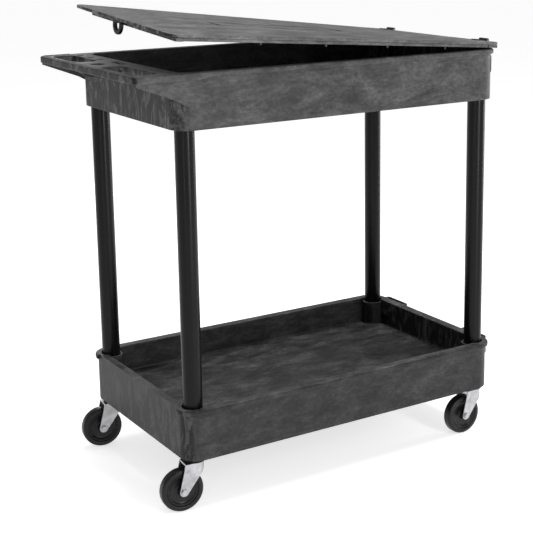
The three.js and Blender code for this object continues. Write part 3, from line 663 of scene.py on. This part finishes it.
def handle_bead():
    """Two fine ridges along the outer edge of the grip bar."""
    ridges = []
    half = TUB_HALF_Y + BAND_OUT
    for inset, out in ((4.6, 1.5), (10.5, 1.1)):
        r = HANDLE_CORNER_R - inset
        line = arc(HANDLE_END_X + inset + r, half - inset - r, r, 90, 180, 10)
        line += arc(HANDLE_END_X + inset + r, -half + inset + r, r, 180, 270, 10)
        start = (TUB_X - TUB_HALF_X - 20, half - inset)
        end = (TUB_X - TUB_HALF_X - 20, -half + inset)
        path = [start, *line, end]
        rings = []
        for i, (x, y) in enumerate(path):
            x0, y0 = path[max(i - 1, 0)]
            x1, y1 = path[min(i + 1, len(path) - 1)]
            along = Vector((x1 - x0, y1 - y0, 0)).normalized()
            across = Vector((along.y, -along.x, 0))
            ring = []
            for k in range(10):
                angle = 2 * math.pi * k / 10
                offset = across * (math.cos(angle) * out) + Vector((0, 0, math.sin(angle) * out * 0.75))
                ring.append(Vector((x, y, HIGH_TOP - 0.2)) + offset)
            rings.append(ring)
        ridges.append(capped("ridge", rings))
    return ridges


def handle_webs():
    """The sloping webs and ribs that carry the handle plate from the end wall."""
    wall = TUB_X - TUB_HALF_X
    z = HIGH_TOP - HANDLE_THICK
    side = [
        (HANDLE_END_X + 6, z + 3), (HANDLE_END_X + 6, z - 5), (wall - 3, z - SIDE_WEB_DROP),
        (wall + TUB_CORNER_R, z - SIDE_WEB_DROP - 22), (wall + TUB_CORNER_R, z + 3),
    ]
    rib = [
        (HANDLE_END_X + 8, z + 2), (HANDLE_END_X + 30, z - 14),
        (wall + 2, z - HANDLE_RIB_DROP), (wall + 2, z + 2),
    ]
    half = HANDLE_RIB_HALF
    ribs = merge([sideways(rib, y - half, y + half) for y in HANDLE_RIBS_Y])
    grips = merge([upright(rounded(GRIP_X0, y0, GRIP_X1, y1, end), z - 40, z + 40) for y0, y1, end in GRIPS])
    combine(ribs, [grips], "DIFFERENCE")
    thick = SIDE_WEB_THICK
    sides = [sideways(side, y0, y0 + thick) for y0 in (-TUB_HALF_Y, TUB_HALF_Y - thick)]
    return [ribs, *sides]


def top_tray():
    floor = HIGH_TOP - TUB_DEPTH
    tray = tub_shell(HIGH_BOTTOM, HIGH_TOP)
    handle_side = box(
        HANDLE_END_X - 50, -300, HIGH_TOP - 40, TUB_X - TUB_HALF_X + 50, 300, HIGH_TOP + 20,
    )
    band = combine(rim_band(HIGH_TOP), [handle_side], "DIFFERENCE")
    boss = [(0.0, HIGH_BOTTOM), (SOCKET_R - 1, HIGH_BOTTOM), (SOCKET_R, HIGH_BOTTOM + 1)]
    boss += [(SOCKET_R, floor - 1), (0.0, floor - 1)]
    sockets = merge([turned(boss, 64, place) for place in legs_at()])
    low, high = HIGH_TOP - 80, HIGH_TOP + 5
    combine(tray, [upright(slot_outline(), low, high)], "DIFFERENCE")
    small = merge([upright(outline, low, high) for outline in small_outlines()])
    combine(tray, [small], "DIFFERENCE")
    plate = combine(handle_plate(), handle_bead(), "UNION")
    combine(tray, [
        band, sockets, *floor_ribs(floor), end_pad(*HIGH_PAD), *handle_webs(), plate,
    ], "UNION")
    bore = LEG_R + GAP
    top = HIGH_BOTTOM + HIGH_SOCKET_DEEP
    hole = [
        (0.0, HIGH_BOTTOM - 5), (bore + 5.8, HIGH_BOTTOM - 5),
        (bore, HIGH_BOTTOM + 0.8), (bore, top), (0.0, top),
    ]
    combine(tray, [merge([turned(hole, 72, place) for place in legs_at()])], "DIFFERENCE")
    return done(named(tray, "upper_tub"), "upper_plastic", "cart", "top_tray")


# ---------------------------------------------------------------- legs and caster stems
def legs():
    z0 = LOW_BOTTOM + SOCKET_FLOOR + GAP
    z1 = HIGH_BOTTOM + HIGH_SOCKET_DEEP - GAP
    bore = LEG_R - LEG_WALL
    profile = [
        (bore, z0), (LEG_R - 0.5, z0), (LEG_R, z0 + 0.5), (LEG_R, LOW_TOP + 6), (LEG_R, HIGH_BOTTOM - 6),
        (LEG_R, z1 - 0.5), (LEG_R - 0.5, z1), (bore, z1),
    ]
    for (tag, _, _, _), place in zip(CORNERS, legs_at()):
        tube = turned(profile, 96, place, True)
        done(named(tube, f"leg_tube_{tag}"), "leg_plastic", "cart", f"leg_{tag}")


def caster_stems():
    """The fixed half of each swivel: rivet, lower race, pressed cup, upper washer and stem."""
    under = CROWN_Z - FORK_SKIN
    top = LOW_BOTTOM - GAP
    profile = [(0.0, under - 5.0), (6.5, under - 5.0), (8.4, under - 4.2)]
    profile += [(9.2, under - 2.2), (9.4, under - GAP)]
    profile += [(STEM_R, under - GAP), (STEM_R, CROWN_Z + GAP), (RACE_R - 3.4, CROWN_Z + GAP)]
    profile += [(RACE_R - 1.6, CROWN_Z + 0.9), (RACE_R - 0.6, CROWN_Z + 2.0), (RACE_R, CROWN_Z + 3.2)]
    profile += [(RACE_R - 0.7, CROWN_Z + 4.4), (RACE_R - 2.6, CROWN_Z + 5.0), (RACE_R - 4.6, CROWN_Z + 5.3)]
    profile += [(RACE_R - 5.0, CROWN_Z + 6.6), (RACE_R - 5.0, top - 0.6), (RACE_R - 5.6, top)]
    profile += [(STEM_R, top), (STEM_R, STEM_TOP - 1), (STEM_R - 1, STEM_TOP), (0.0, STEM_TOP)]
    for (tag, _, _, _), place in zip(CORNERS, legs_at()):
        stem = turned(profile, 72, place)
        done(named(stem, f"swivel_race_{tag}"), "black_steel", "cart", f"caster_stem_{tag}")


# ---------------------------------------------------------------- lid
def lid_place():
    """Takes a lid piece drawn closed to where it stands, a little open."""
    pivot = shift(HINGE_X, 0, HINGE_Z)
    return pivot @ Matrix.Rotation(LID_OPEN, 4, "Y") @ pivot.inverted()


def warp(obj, place):
    """Twists a lid piece drawn flat as the lid is twisted, then takes it to where the lid stands."""
    bm = bmesh.new()
    bm.from_mesh(obj.data)
    spans = ((0, LID_X0, LID_X1), (1, -LID_HALF_Y, LID_HALF_Y))
    for axis, low, high in spans:
        normal = (1, 0, 0) if axis == 0 else (0, 1, 0)
        size = max(v.co[axis] for v in bm.verts) - min(v.co[axis] for v in bm.verts)
        if size < WARP_STEP * MM:
            continue
        for i in range(1, int((high - low) / WARP_STEP) + 1):
            at = Vector(normal) * ((low + i * WARP_STEP) * MM)
            everything = bm.verts[:] + bm.edges[:] + bm.faces[:]
            bmesh.ops.bisect_plane(bm, geom=everything, dist=1e-7, plane_co=at, plane_no=normal)
    for vert in bm.verts:
        along = max(0.0, (WARP_X - vert.co.x / MM) / (WARP_X - LID_X0))
        vert.co.z += LID_WARP * along * vert.co.y / LID_HALF_Y
    bm.to_mesh(obj.data)
    bm.free()
    obj.data.transform(place)


def lid_panel(place):
    """The lid: a rounded plate with a shallow notch, and a blank field set off by a groove on its top."""
    a, b, c, d = LID_CORNERS
    y0, y1, x1 = -LID_HALF_Y, LID_HALF_Y, LID_X1
    outline = arc(x1 - b, y0 + b, b, -90, 0, 8)
    outline += [(x1, NOTCH_Y0 - 3.0), (x1 - 1.2, NOTCH_Y0 - 0.8), (x1 - NOTCH_DEEP, NOTCH_Y0 + 3.0)]
    outline += [(x1 - NOTCH_DEEP, NOTCH_Y1 - 3.0), (x1 - 1.2, NOTCH_Y1 + 0.8), (x1, NOTCH_Y1 + 3.0)]
    outline += arc(x1 - c, y1 - c, c, 0, 90, 10)
    outline += arc(LID_X0 + d, y1 - d, d, 90, 180, 12)
    outline += arc(LID_X0 + a, y0 + a, a, 180, 270, 12)
    panel = slab(outline, (), PANEL_BOTTOM, PANEL_TOP - 0.05, 1.5, None, 4)
    field = slab(rounded(*FIELD), (), PANEL_TOP - FIELD_DEEP, PANEL_TOP + 6, FIELD_EDGE)
    inner = slab(rounded(*FIELD_FLAT), (), PANEL_TOP - 3, PANEL_TOP - 0.1, FIELD_EDGE)
    combine(panel, [field], "DIFFERENCE")
    combine(panel, [inner], "UNION")
    bore = SCREW_R + GAP
    hole_top = PANEL_BOTTOM + SCREW_BITE + GAP
    hole = [(0.0, BATTEN_BOTTOM - 5), (bore, BATTEN_BOTTOM - 5), (bore, hole_top), (0.0, hole_top)]
    holes = [
        turned(hole, 24, shift(x, y))
        for x in SCREWS_X for y in (-SCREW_Y, SCREW_Y)
    ]
    combine(panel, [merge(holes)], "DIFFERENCE")
    warp(panel, place)
    done(named(panel, "lid_plate"), "lid_plastic", "lid", "lid_panel")


def battens(place):
    y1 = LID_HALF_Y - 4.0
    y0 = y1 - BATTEN_WIDE
    x0, x1 = LID_X0 + 27.0, LID_X1 - 28.0
    top = PANEL_BOTTOM - GAP
    bore = SCREW_R + GAP
    spans = (
        ("front", (x0, -y1, x1, -y0), -SCREW_Y), ("back", (x0, y0, x1, y1), SCREW_Y),
        ("hinge", (x1 + 1, -y1, LID_X1 - 1.5, y1), None),
    )
    for side, (ax, ay, bx, by), screw_y in spans:
        holes = []
        if screw_y is not None:
            holes = [circle(x, screw_y, bore, 24) for x in SCREWS_X]
        strip = slab(rounded(ax, ay, bx, by, 2.2, 4), holes, BATTEN_BOTTOM, top, 1.0)
        warp(strip, place)
        done(named(strip, f"batten_{side}"), "lid_plastic", "lid", f"lid_batten_{side}")
    bar = slab(
        rounded(END_BAR_X0, END_BAR_Y0, END_BAR_X1, END_BAR_Y1, 2.2, 4), (), BATTEN_BOTTOM, top, 1.0,
    )
    warp(bar, place)
    done(named(bar, "end_bar"), "lid_plastic", "lid", "lid_end_bar")


def hasp(place):
    top = PANEL_BOTTOM - GAP
    low = BATTEN_BOTTOM - HASP_DROP + HASP_HALF
    outline = [(HASP_HALF, top), (-HASP_HALF, top)] + arc(0, low, HASP_HALF, 180, 360, 28)
    eye_top = BATTEN_BOTTOM + HASP_EYE_TOP
    eye = [(HASP_EYE, eye_top), (-HASP_EYE, eye_top)] + arc(0, low, HASP_EYE, 180, 360, 24)
    loop = slab(outline, (eye,), -HASP_THICK / 2, HASP_THICK / 2, 1.7, shift(SLOT_X, SLOT_Y) @ STOOD, 4)
    warp(loop, place)
    done(named(loop, "hasp_loop"), "black_steel", "lid", "hasp")


def lid_screws(place):
    low = BATTEN_BOTTOM - SCREW_TAIL
    top = PANEL_BOTTOM + SCREW_BITE
    for row, y in (("front", -SCREW_Y), ("back", SCREW_Y)):
        for number, x in enumerate(SCREWS_X, 1):
            z = low + SCREW_PITCH
            profile = [(0.0, low), (SCREW_R * 0.55, low), (SCREW_R * 0.8, z)]
            while z < top - 1.2:
                profile += [(SCREW_R, z + 0.35), (SCREW_CORE_R, z + 0.8)]
                z += SCREW_PITCH
            profile += [(SCREW_CORE_R, top), (0.0, top)]
            screw = turned(profile, 32, shift(x, y))
            warp(screw, place)
            done(named(screw, f"screw_{row}_{number}"), "zinc_steel", "lid", f"lid_screw_{row}_{number}")


# ---------------------------------------------------------------- hinges
def barrel(y0, y1):
    """A rolled knuckle with chamfered ends round the hinge's pin."""
    profile = [
        (PIN_HOLE_R, y0), (KNUCKLE_R - 0.4, y0), (KNUCKLE_R, y0 + 0.4),
        (KNUCKLE_R, y1 - 0.4), (KNUCKLE_R - 0.4, y1), (PIN_HOLE_R, y1),
    ]
    return turned(profile, 48, shift(HINGE_X, 0, HINGE_Z) @ LAID, True)


def hinges(place):
    half = HINGE_LONG / 2
    third = HINGE_LONG / 6
    for side, y in zip(("front", "back"), HINGES_Y):
        x0 = TUB_X + TUB_HALF_X + BAND_OUT + GAP
        strap = box(x0, y - half, HIGH_TOP - 9.5, x0 + LEAF_THICK, y + half, HINGE_Z - 2.2)
        middle = box(x0 - 10, y - third - GAP, HIGH_TOP + 1, x0 + 20, y + third + GAP, HINGE_Z + 10)
        round_edges(combine(strap, [middle], "DIFFERENCE"), 0.35)
        combine(strap, [barrel(y - half, y - third - GAP)], "UNION")
        combine(strap, [barrel(y + third + GAP, y + half)], "UNION")
        done(named(strap, f"hinge_strap_{side}"), "black_steel", "cart", f"hinge_tub_leaf_{side}")
        z0 = PANEL_TOP + GAP
        leaf = rounded(LID_X1 - 22, y - half, LID_X1 - 1.2, y + half, 2.5, 5)
        plate = slab(leaf, (), z0, z0 + LEAF_THICK, 0.35)
        neck = box(LID_X1 - 3, y - third, z0, HINGE_X - PIN_HOLE_R - 0.6, y + third, z0 + LEAF_THICK)
        combine(plate, [neck], "UNION")
        combine(plate, [barrel(y - third, y + third)], "UNION")
        plate.data.transform(place)
        done(named(plate, f"hinge_plate_{side}"), "black_steel", "lid", f"hinge_lid_leaf_{side}")
        reach = half + 0.6
        profile = [(0.0, y - reach), (PIN_R - 0.3, y - reach), (PIN_R, y - reach + 0.3)]
        profile += [(PIN_R, y + reach - 0.3), (PIN_R - 0.3, y + reach), (0.0, y + reach)]
        pin = turned(profile, 32, shift(HINGE_X, 0, HINGE_Z) @ LAID)
        done(named(pin, f"pin_{side}"), "zinc_steel", "cart", f"hinge_pin_{side}")


# ---------------------------------------------------------------- casters
def on_axle(profile, sides, place, closed=True):
    """Turned round the axle: (radius, offset from the wheel's middle plane) points."""
    seat = place @ shift(-TRAIL, 0, WHEEL_R) @ LAID
    return turned(profile, sides, seat, closed)


def fork(place, tag):
    """A stamped yoke: a crown, cheeks that narrow to the axle and a rounded leading face."""
    cheek = [(CROWN_LEAD, CROWN_Z), (-CROWN_TAIL, CROWN_Z)]
    start = math.degrees(math.pi - 0.4)
    end = math.degrees(2 * math.pi - 0.75)
    cheek += arc(-TRAIL, WHEEL_R, FORK_END_R, start, end, 16)
    # the leading edge is a curve from the foot of the cheek's front, past (x1, z1), up to the crown
    x0, z0 = 4.5, CROWN_Z - 26.0
    x1, z1 = CROWN_LEAD - 1.0, CROWN_Z - 18.0
    for i in range(10):
        t = i / 10
        x = (1 - t) ** 2 * x0 + 2 * t * (1 - t) * x1 + t * t * CROWN_LEAD
        z = (1 - t) ** 2 * z0 + 2 * t * (1 - t) * z1 + t * t * CROWN_Z
        cheek.append((x, z))
    body = sideways(cheek, -FORK_OUT, FORK_OUT)
    corners = (1.0, FORK_ROUND, FORK_ROUND, 1.0)
    outer = upright(rounded(-60, -FORK_OUT, CROWN_LEAD, FORK_OUT, corners, 12), 0, CROWN_Z + 10)
    r = FORK_ROUND - FORK_SKIN
    inner_y = FORK_OUT - FORK_SKIN
    corners = (1.0, r, r, 1.0)
    inner = upright(
        rounded(-80, -inner_y, CROWN_LEAD - FORK_SKIN, inner_y, corners, 12), 0, CROWN_Z - FORK_SKIN,
    )
    combine(body, [outer], "INTERSECT")
    combine(body, [inner], "DIFFERENCE")
    bore = STEM_R + GAP
    stem = turned([(0.0, 50.0), (bore, 50.0), (bore, CROWN_Z + 10), (0.0, CROWN_Z + 10)], 48)
    hole = AXLE_R + GAP
    axle = on_axle([(0.0, -40.0), (hole, -40.0), (hole, 40.0), (0.0, 40.0)], 40, Matrix.Identity(4), False)
    combine(body, [stem], "DIFFERENCE")
    combine(body, [axle], "DIFFERENCE")
    round_edges(body, 0.55, 50.0)
    body.data.transform(place)
    done(named(body, f"yoke_{tag}"), "zinc_steel", f"caster_{tag}", f"fork_{tag}")


def six_sided(radius, y0, y1, place, bore=None):
    """A bolt head or nut on the axle, its corners turned off as on a real one."""
    seat = place @ shift(-TRAIL, 0, WHEEL_R) @ LAID
    body = upright(circle(0, 0, radius, 6), y0, y1)
    turned_off = turned([
        (0.0, y0), (radius * 0.88, y0), (radius * 1.02, y0 + 0.9),
        (radius * 1.02, y1 - 0.9), (radius * 0.88, y1), (0.0, y1),
    ], 48)
    combine(body, [turned_off], "INTERSECT")
    if bore is not None:
        hole = turned([(0.0, y0 - 2), (bore, y0 - 2), (bore, y1 + 2), (0.0, y1 + 2)], 40)
        combine(body, [hole], "DIFFERENCE")
    body.data.transform(seat)
    return body


def axle_bolt(place, tag):
    y0 = -FORK_OUT - GAP
    head = six_sided(BOLT_HEAD_R, y0 - BOLT_HEAD_OUT, y0 - 0.7, place)
    face = y0 - WASHER_THICK
    ring = [(0.0, face), (WASHER_R - 0.4, face), (WASHER_R, face + 0.4), (WASHER_R, y0), (0.0, y0)]
    washer = on_axle(ring, 56, place, False)
    end = FORK_OUT + BOLT_TAIL
    shank = on_axle([
        (0.0, y0 - 0.8), (AXLE_R, y0 - 0.8), (AXLE_R, end - 0.8), (AXLE_R - 0.8, end), (0.0, end),
    ], 48, place, False)
    combine(head, [washer, shank], "UNION")
    done(named(head, f"bolt_{tag}"), "zinc_steel", f"caster_{tag}", f"axle_{tag}")
    face = FORK_OUT + GAP
    nut = six_sided(NUT_R, face, face + NUT_TALL, place, AXLE_R + GAP)
    done(named(nut, f"nut_{tag}"), "zinc_steel", f"caster_{tag}", f"axle_nut_{tag}")


def mirrored(face):
    return face + [(r, -y) for r, y in reversed(face)]


def wheel(place, tag):
    bore = AXLE_R + GAP
    face = [(bore, -14.2), (7.9, -14.2), (8.5, -13.7), (8.8, -12.0), (10.0, -8.2), (11.6, -6.0)]
    face += [(13.6, -5.3), (17.0, -5.4), (24.5, -5.9), (26.8, -6.6), (28.2, -8.2), (29.0, -9.2)]
    face += [(29.9, -9.6), (31.6, -9.6), (32.4, -9.1)]
    core = on_axle(mirrored(face), 96, place)
    done(named(core, f"wheel_hub_{tag}"), "wheel_plastic", f"wheel_{tag}", f"wheel_core_{tag}")
    half = TREAD_WIDE / 2
    tread = [(32.7, -half + 2.2), (33.3, -half + 1.1), (34.4, -half + 0.3), (36.4, -half)]
    tread += [(38.6, -half + 0.1), (40.6, -half + 0.5), (42.1, -half + 1.3), (43.2, -half + 2.6)]
    tread += [(43.8, -half + 4.2), (WHEEL_R, -half + 6.2)]
    tyre = on_axle(mirrored(tread), 112, place)
    done(named(tyre, f"tread_{tag}"), "tyre_rubber", f"wheel_{tag}", f"tyre_{tag}")


def casters():
    for (tag, _, _, heading), place in zip(CORNERS, legs_at()):
        seat = place @ Matrix.Rotation(math.radians(heading - 90), 4, "Z")
        fork(seat, tag)
        axle_bolt(seat, tag)
        wheel(seat, tag)


# ---------------------------------------------------------------- the whole cart
def clothe_cad():
    """Gives the CAD pieces their finish too, as the hidden plugs in the legs stay as they are."""
    slots = {part["node"]: part["material_slot"] for part in frame["record"]["subparts"]}
    for name, node in frame["nodes"].items():
        node.data.materials.clear()
        node.data.materials.append(MATERIALS[slots[name]])


def build():
    clothe_cad()
    bottom_tray()
    top_tray()
    legs()
    caster_stems()
    place = lid_place()
    lid_panel(place)
    battens(place)
    hasp(place)
    lid_screws(place)
    hinges(place)
    casters()


build()


# ---------------------------------------------------------------- floor, light and camera
ROOM_LIGHT = 0.40  # the soft light from all round
FLOOR_GLOW = 0.60  # keeps the floor as white as the backdrop
# name, place, where it points, width and height in metres, watts
LIGHTS = (
    ("top", (0.2, 0.0, 3.4), (0.0, 0.0, 0.4), (2.4, 1.8), 66.0),
    ("front_right", (0.45, -2.96, 1.15), (0.0, 0.0, 1.15), (0.35, 2.2), 42.0),
    ("front_left", (-2.1, -2.2, 1.15), (0.0, 0.0, 1.15), (0.15, 2.2), 7.0),
    ("back", (0.6, 3.0, 1.15), (0.0, 0.0, 1.15), (0.3, 2.2), 8.0),
    ("back_right", (2.98, -0.28, 1.15), (0.0, 0.0, 1.15), (0.3, 2.2), 26.0),
)
CAMERA_SPOT = (-1.3901, -2.3235, 1.1497)
CAMERA_YAW, CAMERA_PITCH, CAMERA_ROLL = 0.5811, 0.2118, -0.0072
CAMERA_LENS, CAMERA_SHIFT = 86.41, (-0.12, -0.14)


def floor_material():
    material, tree, shader = new_material("studio_floor")
    clouds = noise(tree, object_points(tree, (1.0, 1.0, 1.0)), 3.0, 3.0)
    tree.links.new(ramp(tree, clouds, ((0.3, 0.90), (0.7, 0.93))), shader.inputs["Base Color"])
    shader.inputs["Roughness"].default_value = 0.9
    shader.inputs["Specular IOR Level"].default_value = 0.0
    shader.inputs["Emission Color"].default_value = WHITE
    shader.inputs["Emission Strength"].default_value = FLOOR_GLOW
    return material


def studio():
    """A pale floor, soft light from all round and five soft boxes that only the cart sees."""
    bm = bmesh.new()
    bmesh.ops.create_grid(bm, x_segments=8, y_segments=8, size=30.0)
    mesh = bpy.data.meshes.new("studio_floor")
    bm.to_mesh(mesh)
    bm.free()
    floor = bpy.data.objects.new("studio_floor", mesh)
    bpy.context.scene.collection.objects.link(floor)
    mesh.materials.append(floor_material())

    world = bpy.data.worlds.new("studio")
    world.use_nodes = True
    tree = world.node_tree
    room = tree.nodes["Background"]
    room.inputs["Color"].default_value = WHITE
    room.inputs["Strength"].default_value = ROOM_LIGHT
    backdrop = put(tree, "ShaderNodeBackground", Color=WHITE, Strength=1.0)
    path = put(tree, "ShaderNodeLightPath")
    either = put(tree, "ShaderNodeMixShader")
    tree.links.new(path.outputs["Is Camera Ray"], either.inputs[0])
    tree.links.new(room.outputs[0], either.inputs[1])
    tree.links.new(backdrop.outputs[0], either.inputs[2])
    tree.links.new(either.outputs[0], tree.nodes["World Output"].inputs["Surface"])
    bpy.context.scene.world = world

    def area(name, spot, aim, size, power):
        data = bpy.data.lights.new(name, "AREA")
        data.shape = "RECTANGLE"
        data.size, data.size_y = size
        data.energy = power
        lamp = bpy.data.objects.new(name, data)
        lamp.location = spot
        lamp.visible_camera = False
        lamp.rotation_euler = (Vector(aim) - Vector(spot)).to_track_quat("-Z", "Y").to_euler()
        bpy.context.scene.collection.objects.link(lamp)

    for light in LIGHTS:
        area(*light)


def camera():
    """The view of the photograph, with a lens shift small enough for other views to keep."""
    data = bpy.data.cameras.new("camera")
    data.sensor_width = 36.0
    data.lens = CAMERA_LENS
    data.shift_x, data.shift_y = CAMERA_SHIFT
    data.clip_end = 100.0
    yaw, pitch, roll = CAMERA_YAW, CAMERA_PITCH, CAMERA_ROLL
    ahead = Vector((math.sin(yaw) * math.cos(pitch), math.cos(yaw) * math.cos(pitch), -math.sin(pitch)))
    right = Vector((math.cos(yaw), -math.sin(yaw), 0.0))
    up = right.cross(ahead)
    x_axis = right * math.cos(roll) + up * math.sin(roll)
    y_axis = up * math.cos(roll) - right * math.sin(roll)
    turn = Matrix((x_axis, y_axis, -ahead)).transposed().to_4x4()
    viewer = bpy.data.objects.new("camera", data)
    viewer.matrix_world = Matrix.Translation(CAMERA_SPOT) @ turn
    bpy.context.scene.collection.objects.link(viewer)
    bpy.context.scene.camera = viewer


studio()
camera()
bpy.context.scene.view_settings.view_transform = "Standard"
bpy.context.scene.view_settings.look = "None"
